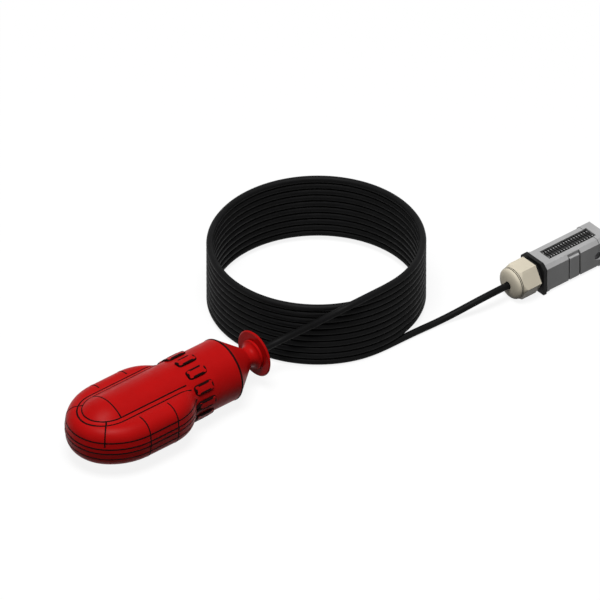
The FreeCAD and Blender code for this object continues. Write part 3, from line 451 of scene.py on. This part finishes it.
# %% Lines on the ring
RING_FRONT, RING_REAR = -42.4, -16.8
RING_HALF_WIDTH, SIDE_ARC = 35.3, 45.0
SIDE_CENTRE = RING_HALF_WIDTH - SIDE_ARC
RING_MIDDLE, RING_STRETCH, PAST_RING = -36, 1.7, 90
FAN_HALF, FAN_STEP = 34, math.radians(4.1)

for level in (7.0, 1.95, -1.95, -7.0):
    middle = Vector((RING_MIDDLE, 0, level))
    plan = []
    for i in range(-FAN_HALF, FAN_HALF + 1):
        angle = math.pi + i * FAN_STEP
        way = Vector((RING_STRETCH * math.cos(angle), math.sin(angle), 0))
        plan.append((middle + way * PAST_RING, middle))
    add_bead(plan)


WALL_MIDDLE = 33


def upright_line(station, angle_degrees, lowest=-62):
    """A line over the ring's side, in an upright plane through a side arc's centre."""
    angle = math.radians(angle_degrees)
    for side in (-1, 1):
        way = Vector((math.cos(angle), side * math.sin(angle), 0))
        middle = Vector((station, side * SIDE_CENTRE, 0)) + way * WALL_MIDDLE
        sweep = [math.radians(a) for a in range(lowest, 97, 5)]
        add_bead([(middle + (way * math.cos(a) + Vector((0, 0, math.sin(a)))) * OUTSIDE, middle)
                  for a in sweep])


upright_line(RING_REAR, 90)
upright_line(RING_FRONT, 90)
upright_line(RING_FRONT, 135, lowest=18)
print("lines on the ring:", len(bead_curve.splines))

# %% [markdown]
# Two lines follow the blend between the ring and the tube: along both flanks of the tube and round
# the foot of the dome, as one long loop each. A line over the top marks where the dome begins, and a
# closed one where the rear cap meets the tube.

# %% Lines on the tube
DOME_BASE, CAP_EDGE = -53.9, 52.4
FLANK_STEP, TURN_STEPS = 4.0, 24


def loop_over(half_width, reach, rear):
    """Downward rays along both flanks and round the dome's foot."""
    flank = [rear - FLANK_STEP * i for i in range(int((rear - DOME_BASE) / FLANK_STEP) + 1)]
    turn = [math.pi / 2 + math.pi * i / TURN_STEPS for i in range(1, TURN_STEPS)]
    plan = [(x, half_width) for x in flank]
    plan += [(DOME_BASE + reach * math.cos(a), half_width * math.sin(a)) for a in turn]
    plan += [(x, -half_width) for x in reversed(flank)]
    return [((x, y, OUTSIDE), (x, y, 0)) for x, y in plan]


def ray_to_axis(x, turn):
    """A ray from outside to the axis at x, turned away from straight above."""
    return (x, OUTSIDE * math.sin(turn), OUTSIDE * math.cos(turn)), (x, 0, 0)


add_bead(loop_over(16.06, 18.9, 6.0))
add_bead(loop_over(19.48, 22.4, 8.0))
add_bead([ray_to_axis(DOME_BASE, math.radians(d)) for d in range(-43, 44, 4)])
add_bead([ray_to_axis(CAP_EDGE, math.radians(d)) for d in range(0, 360, 8)], closed=True)
print("lines so far:", len(bead_curve.splines))

# %% [markdown]
# Each raised pad has a fine groove just inside its edge, drawn as a dark bead of painted shade.

# %% Grooves on the pads
PADS, TUBE_RADIUS = 12, 25.0
PAD_FROM, PAD_TO, PAD_HALF = 11.5, 25.9, 2.75
steps_x = [PAD_FROM + (PAD_TO - PAD_FROM) * k / 6 for k in range(7)]
steps_y = [-PAD_HALF + 2 * PAD_HALF * k / 4 for k in range(5)]
outline = [(x, -PAD_HALF) for x in steps_x] + [(PAD_TO, y) for y in steps_y]
outline += [(x, PAD_HALF) for x in reversed(steps_x)] + [(PAD_FROM, y) for y in reversed(steps_y)]
for i in range(PADS):
    tilt = math.tau * i / PADS
    add_bead([ray_to_axis(x, tilt + across / TUBE_RADIUS) for x, across in outline], closed=True)

parting_line_shades = bpy.data.objects.new("float_parting_line_shades", bead_curve)
bpy.context.scene.collection.objects.link(parting_line_shades)
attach(parting_line_shades, "switch_assembly")
print("parting lines in all:", len(bead_curve.splines))

# %% [markdown]
# ## A base for every finish
# Plastics, rubber and plated metal differ in colour, gloss and grain, but they are built from the
# same few steps. One function makes a Principled material with three noises: a wide one that lets
# the colour drift a little, a middle one that varies the gloss, and a fine one for the surface grain.
# The noises use object coordinates, in metres, so the grain has its real size on every piece. The
# colour is also darkened where walls stand close together: painted shade from an occlusion node.

# %% Finish builder
DRIFT_MM, GLOSS_MM, PAINTED_SHADE_MM = 14.0, 5.0, 1.6
# The darkest tone of the painted shade in gaps, grooves and recesses.
PAINTED_SHADE_TONE = 0.08


def grained_finish(name, colour, roughness, drift=0.06, gloss_change=0.05, grain_mm=0.35,
                   grain_depth_mm=0.01, specular=0.5, metallic=0.0):
    """A material whose colour, gloss and relief all vary a little over the surface, with painted shade in
    narrow gaps.
    """
    material = bpy.data.materials.new(name)
    material.use_nodes = True
    nodes, links = material.node_tree.nodes, material.node_tree.links
    shader = nodes["Principled BSDF"]
    shader.inputs["Metallic"].default_value = metallic
    shader.inputs["Specular IOR Level"].default_value = specular
    where = nodes.new("ShaderNodeTexCoord")

    def noise(size_mm, detail):
        cloud = nodes.new("ShaderNodeTexNoise")
        cloud.inputs["Scale"].default_value = 1 / (size_mm * MM)
        cloud.inputs["Detail"].default_value = detail
        links.new(where.outputs["Object"], cloud.inputs["Vector"])
        return cloud.outputs["Fac"]

    tint = nodes.new("ShaderNodeValToRGB")
    tint.color_ramp.elements[0].position = 0.3
    tint.color_ramp.elements[1].position = 0.7
    tint.color_ramp.elements[0].color = (*[c * (1 - drift) for c in colour], 1)
    tint.color_ramp.elements[1].color = (*[min(1, c * (1 + drift)) for c in colour], 1)
    links.new(noise(DRIFT_MM, 4), tint.inputs["Fac"])

    # Painted shade: ambient occlusion darkens the base colour in gaps, grooves and recesses, where shade
    # falls.
    painted_shade_occlusion = nodes.new("ShaderNodeAmbientOcclusion")
    painted_shade_occlusion.samples = 8
    painted_shade_occlusion.inputs["Distance"].default_value = PAINTED_SHADE_MM * MM
    painted_shade_ramp = nodes.new("ShaderNodeValToRGB")
    painted_shade_ramp.color_ramp.elements[0].position = 0.35
    painted_shade_ramp.color_ramp.elements[1].position = 0.8
    painted_shade_ramp.color_ramp.elements[0].color = (PAINTED_SHADE_TONE, PAINTED_SHADE_TONE, PAINTED_SHADE_TONE, 1)
    shaded = nodes.new("ShaderNodeMix")
    shaded.data_type = "RGBA"
    shaded.blend_type = "MULTIPLY"
    shaded.inputs["Factor"].default_value = 1.0
    links.new(painted_shade_occlusion.outputs["AO"], painted_shade_ramp.inputs["Fac"])
    links.new(tint.outputs["Color"], shaded.inputs["A"])
    links.new(painted_shade_ramp.outputs["Color"], shaded.inputs["B"])
    links.new(shaded.outputs["Result"], shader.inputs["Base Color"])

    gloss = nodes.new("ShaderNodeMapRange")
    gloss.inputs["From Min"].default_value = 0.3
    gloss.inputs["From Max"].default_value = 0.7
    gloss.inputs["To Min"].default_value = roughness - gloss_change
    gloss.inputs["To Max"].default_value = roughness + gloss_change
    links.new(noise(GLOSS_MM, 3), gloss.inputs["Value"])
    links.new(gloss.outputs["Result"], shader.inputs["Roughness"])

    relief = nodes.new("ShaderNodeBump")
    relief.inputs["Strength"].default_value = 0.6
    relief.inputs["Distance"].default_value = grain_depth_mm * MM
    links.new(noise(grain_mm, 2), relief.inputs["Height"])
    links.new(relief.outputs["Normal"], shader.inputs["Normal"])
    return material


# %% [markdown]
# ## The finishes
# The float is polypropylene with a satin gloss, the cable and seals are rubber, the gland nut is
# natural polyamide, the housing is grey glass-filled polyamide with a sparked mould texture. The
# metal parts are rolled, plated or polished. Each gets its own numbers. Most are named after the
# slot that the part's record gives them; the last line dresses the pieces that were made here.

# %% Finishes for every slot
finishes = {
    "float_red": grained_finish("float_red", (0.45, 0.0048, 0.0048), 0.42, drift=0.05, grain_mm=0.5,
                                grain_depth_mm=0.006, specular=0.06),
    "cable_black": grained_finish("cable_black", (0.005, 0.005, 0.0052), 0.5, drift=0.2,
                                  grain_mm=0.6, grain_depth_mm=0.02, specular=0.06),
    "seal_rubber": grained_finish("seal_rubber", (0.012, 0.012, 0.012), 0.6, drift=0.15),
    "gasket_dark": grained_finish("gasket_dark", (0.01, 0.01, 0.01), 0.6, drift=0.15,
                                  specular=0.08),
    "potting_resin": grained_finish("potting_resin", (0.02, 0.016, 0.012), 0.2, grain_mm=3.0),
    "carrier_plastic": grained_finish("carrier_plastic", (0.68, 0.66, 0.6), 0.45),
    "switch_plastic": grained_finish("switch_plastic", (0.02, 0.02, 0.022), 0.4),
    "button_plastic": grained_finish("button_plastic", (0.5, 0.02, 0.015), 0.35),
    "polished_steel": grained_finish("polished_steel", (0.62, 0.62, 0.64), 0.08, gloss_change=0.02,
                                     grain_depth_mm=0.001, metallic=1.0),
    "spring_steel": grained_finish("spring_steel", (0.5, 0.5, 0.52), 0.3, metallic=1.0),
    "screw_steel": grained_finish("screw_steel", (0.48, 0.48, 0.5), 0.35, metallic=1.0),
    # Painted shade: the near-black beads stand in for the shade inside the parting grooves.
    "parting_groove_shade": grained_finish("parting_groove_shade", (0.008, 0.001, 0.001), 0.7, drift=0.2,
                                   specular=0.05),
    "screw_dark": grained_finish("screw_dark", (0.06, 0.06, 0.065), 0.4, metallic=0.6),
    "contact_brass": grained_finish("contact_brass", (0.6, 0.4, 0.12), 0.25, metallic=1.0),
    "core_insulation": grained_finish("core_insulation", (0.16, 0.06, 0.02), 0.4),
    "nut_beige": grained_finish("nut_beige", (0.73, 0.665, 0.53), 0.42, drift=0.03, grain_mm=0.3,
                                specular=0.12),
    "hood_grey": grained_finish("hood_grey", (0.44, 0.44, 0.44), 0.5, drift=0.05, grain_mm=0.3,
                                grain_depth_mm=0.015, specular=0.1),
    "flange_dark": grained_finish("flange_dark", (0.012, 0.012, 0.012), 0.5, drift=0.1,
                                  specular=0.1),
    "insert_dark": grained_finish("insert_dark", (0.02, 0.02, 0.02), 0.5),
}
for part in frame["record"]["subparts"]:
    mesh = solids[part["node"]].data
    mesh.materials.clear()
    mesh.materials.append(finishes[part["material_slot"]])
cable_curve.materials.append(finishes["cable_black"])
own_finishes = ((parting_line_shades, "parting_groove_shade"), (gland_nut, "nut_beige"), (flange, "flange_dark"),
                (gasket, "gasket_dark"), (hood, "hood_grey"), (grip, "seal_rubber"), (nubs, "hood_grey"),
                (latches, "hood_grey"), (screws, "screw_dark"), (screw_slot_shades, "seal_rubber"))
for piece, finish in own_finishes:
    piece.data.materials.clear()
    piece.data.materials.append(finishes[finish])
print("finishes:", len(finishes))

# %% [markdown]
# ## The floor
# The part lies on a plain pale floor that looks white to the camera and keeps a soft shadow. A white
# floor would throw much light up at the sides, which the picture does not have. So the floor is
# white only to camera, gloss and glass rays, and a plain dark grey to all others. The world does the
# same: bright where it is seen, dim where it would light the part.

# %% Floor
def seen_directly(nodes, links):
    """1 for camera, glossy and transmission rays, 0 for the rest."""
    path = nodes.new("ShaderNodeLightPath")
    first = nodes.new("ShaderNodeMath")
    second = nodes.new("ShaderNodeMath")
    first.operation = second.operation = "MAXIMUM"
    links.new(path.outputs["Is Camera Ray"], first.inputs[0])
    links.new(path.outputs["Is Glossy Ray"], first.inputs[1])
    links.new(first.outputs[0], second.inputs[0])
    links.new(path.outputs["Is Transmission Ray"], second.inputs[1])
    return second.outputs[0]


FLOOR_HALF, FLOOR_LEVEL = 6.0, -0.0002
GREY_TO_OTHER_RAYS, GLOW, GLOW_SHARE = 0.05, 1.03, 0.85
floor_mesh = bpy.data.meshes.new("floor")
corners = [(x * FLOOR_HALF, y * FLOOR_HALF, 0) for x, y in ((-1, -1), (1, -1), (1, 1), (-1, 1))]
floor_mesh.from_pydata(corners, [], [(0, 1, 2, 3)])
floor = bpy.data.objects.new("floor", floor_mesh)
bpy.context.scene.collection.objects.link(floor)
floor.location.z = FLOOR_LEVEL

floor_finish = bpy.data.materials.new("floor_white")
floor_finish.use_nodes = True
nodes, links = floor_finish.node_tree.nodes, floor_finish.node_tree.links
nodes.remove(nodes["Principled BSDF"])
output = nodes["Material Output"]
pale = nodes.new("ShaderNodeBsdfDiffuse")
grey = nodes.new("ShaderNodeBsdfDiffuse")
glow = nodes.new("ShaderNodeEmission")
pale.inputs["Color"].default_value = (0.9, 0.9, 0.9, 1)
grey.inputs["Color"].default_value = (GREY_TO_OTHER_RAYS, GREY_TO_OTHER_RAYS, GREY_TO_OTHER_RAYS, 1)
glow.inputs["Color"].default_value = (1, 1, 1, 1)
glow.inputs["Strength"].default_value = GLOW
white = nodes.new("ShaderNodeMixShader")
white.inputs["Fac"].default_value = GLOW_SHARE
links.new(pale.outputs[0], white.inputs[1])
links.new(glow.outputs[0], white.inputs[2])
both = nodes.new("ShaderNodeMixShader")
links.new(seen_directly(nodes, links), both.inputs["Fac"])
links.new(grey.outputs[0], both.inputs[1])
links.new(white.outputs[0], both.inputs[2])
links.new(both.outputs[0], output.inputs["Surface"])
floor_mesh.materials.append(floor_finish)
print("floor width:", 2 * FLOOR_HALF, "m")

# %% World
WORLD_DIM = 0.03
world = bpy.data.worlds.new("studio")
world.use_nodes = True
bpy.context.scene.world = world
nodes, links = world.node_tree.nodes, world.node_tree.links
dim = nodes["Background"]
dim.inputs["Color"].default_value = (WORLD_DIM, WORLD_DIM, WORLD_DIM, 1)
bright = nodes.new("ShaderNodeBackground")
bright.inputs["Color"].default_value = (1, 1, 1, 1)
both = nodes.new("ShaderNodeMixShader")
links.new(seen_directly(nodes, links), both.inputs["Fac"])
links.new(dim.outputs[0], both.inputs[1])
links.new(bright.outputs[0], both.inputs[2])
links.new(both.outputs[0], nodes["World Output"].inputs["Surface"])
print("world nodes:", len(nodes))

# %% [markdown]
# ## The light
# The tops are bright and the sides are dark, so the light comes almost straight from above, tipped a
# little towards the camera. One wide area lamp does that, with soft shadow edges. It hangs far off,
# because a near lamp would light the float and the plug from different sides. Its power is set so
# that a surface facing it shows its own colour.

# %% Lamp
LAMP_PLACE, LAMP_AIM = Vector((-1.06, -0.98, 5.60)), Vector((0.14, 0.03, 0.0))
LAMP_SIZE, LAMP_POWER = 2.6, 352.0
lamp_data = bpy.data.lights.new("overhead", "AREA")
lamp_data.shape = "SQUARE"
lamp_data.size = LAMP_SIZE
lamp_data.energy = LAMP_POWER
lamp = bpy.data.objects.new("overhead", lamp_data)
lamp.location = LAMP_PLACE
lamp.rotation_euler = (LAMP_AIM - LAMP_PLACE).to_track_quat("-Z", "Y").to_euler()
bpy.context.scene.collection.objects.link(lamp)
print("lamp distance:", round((LAMP_AIM - LAMP_PLACE).length, 2), "m")
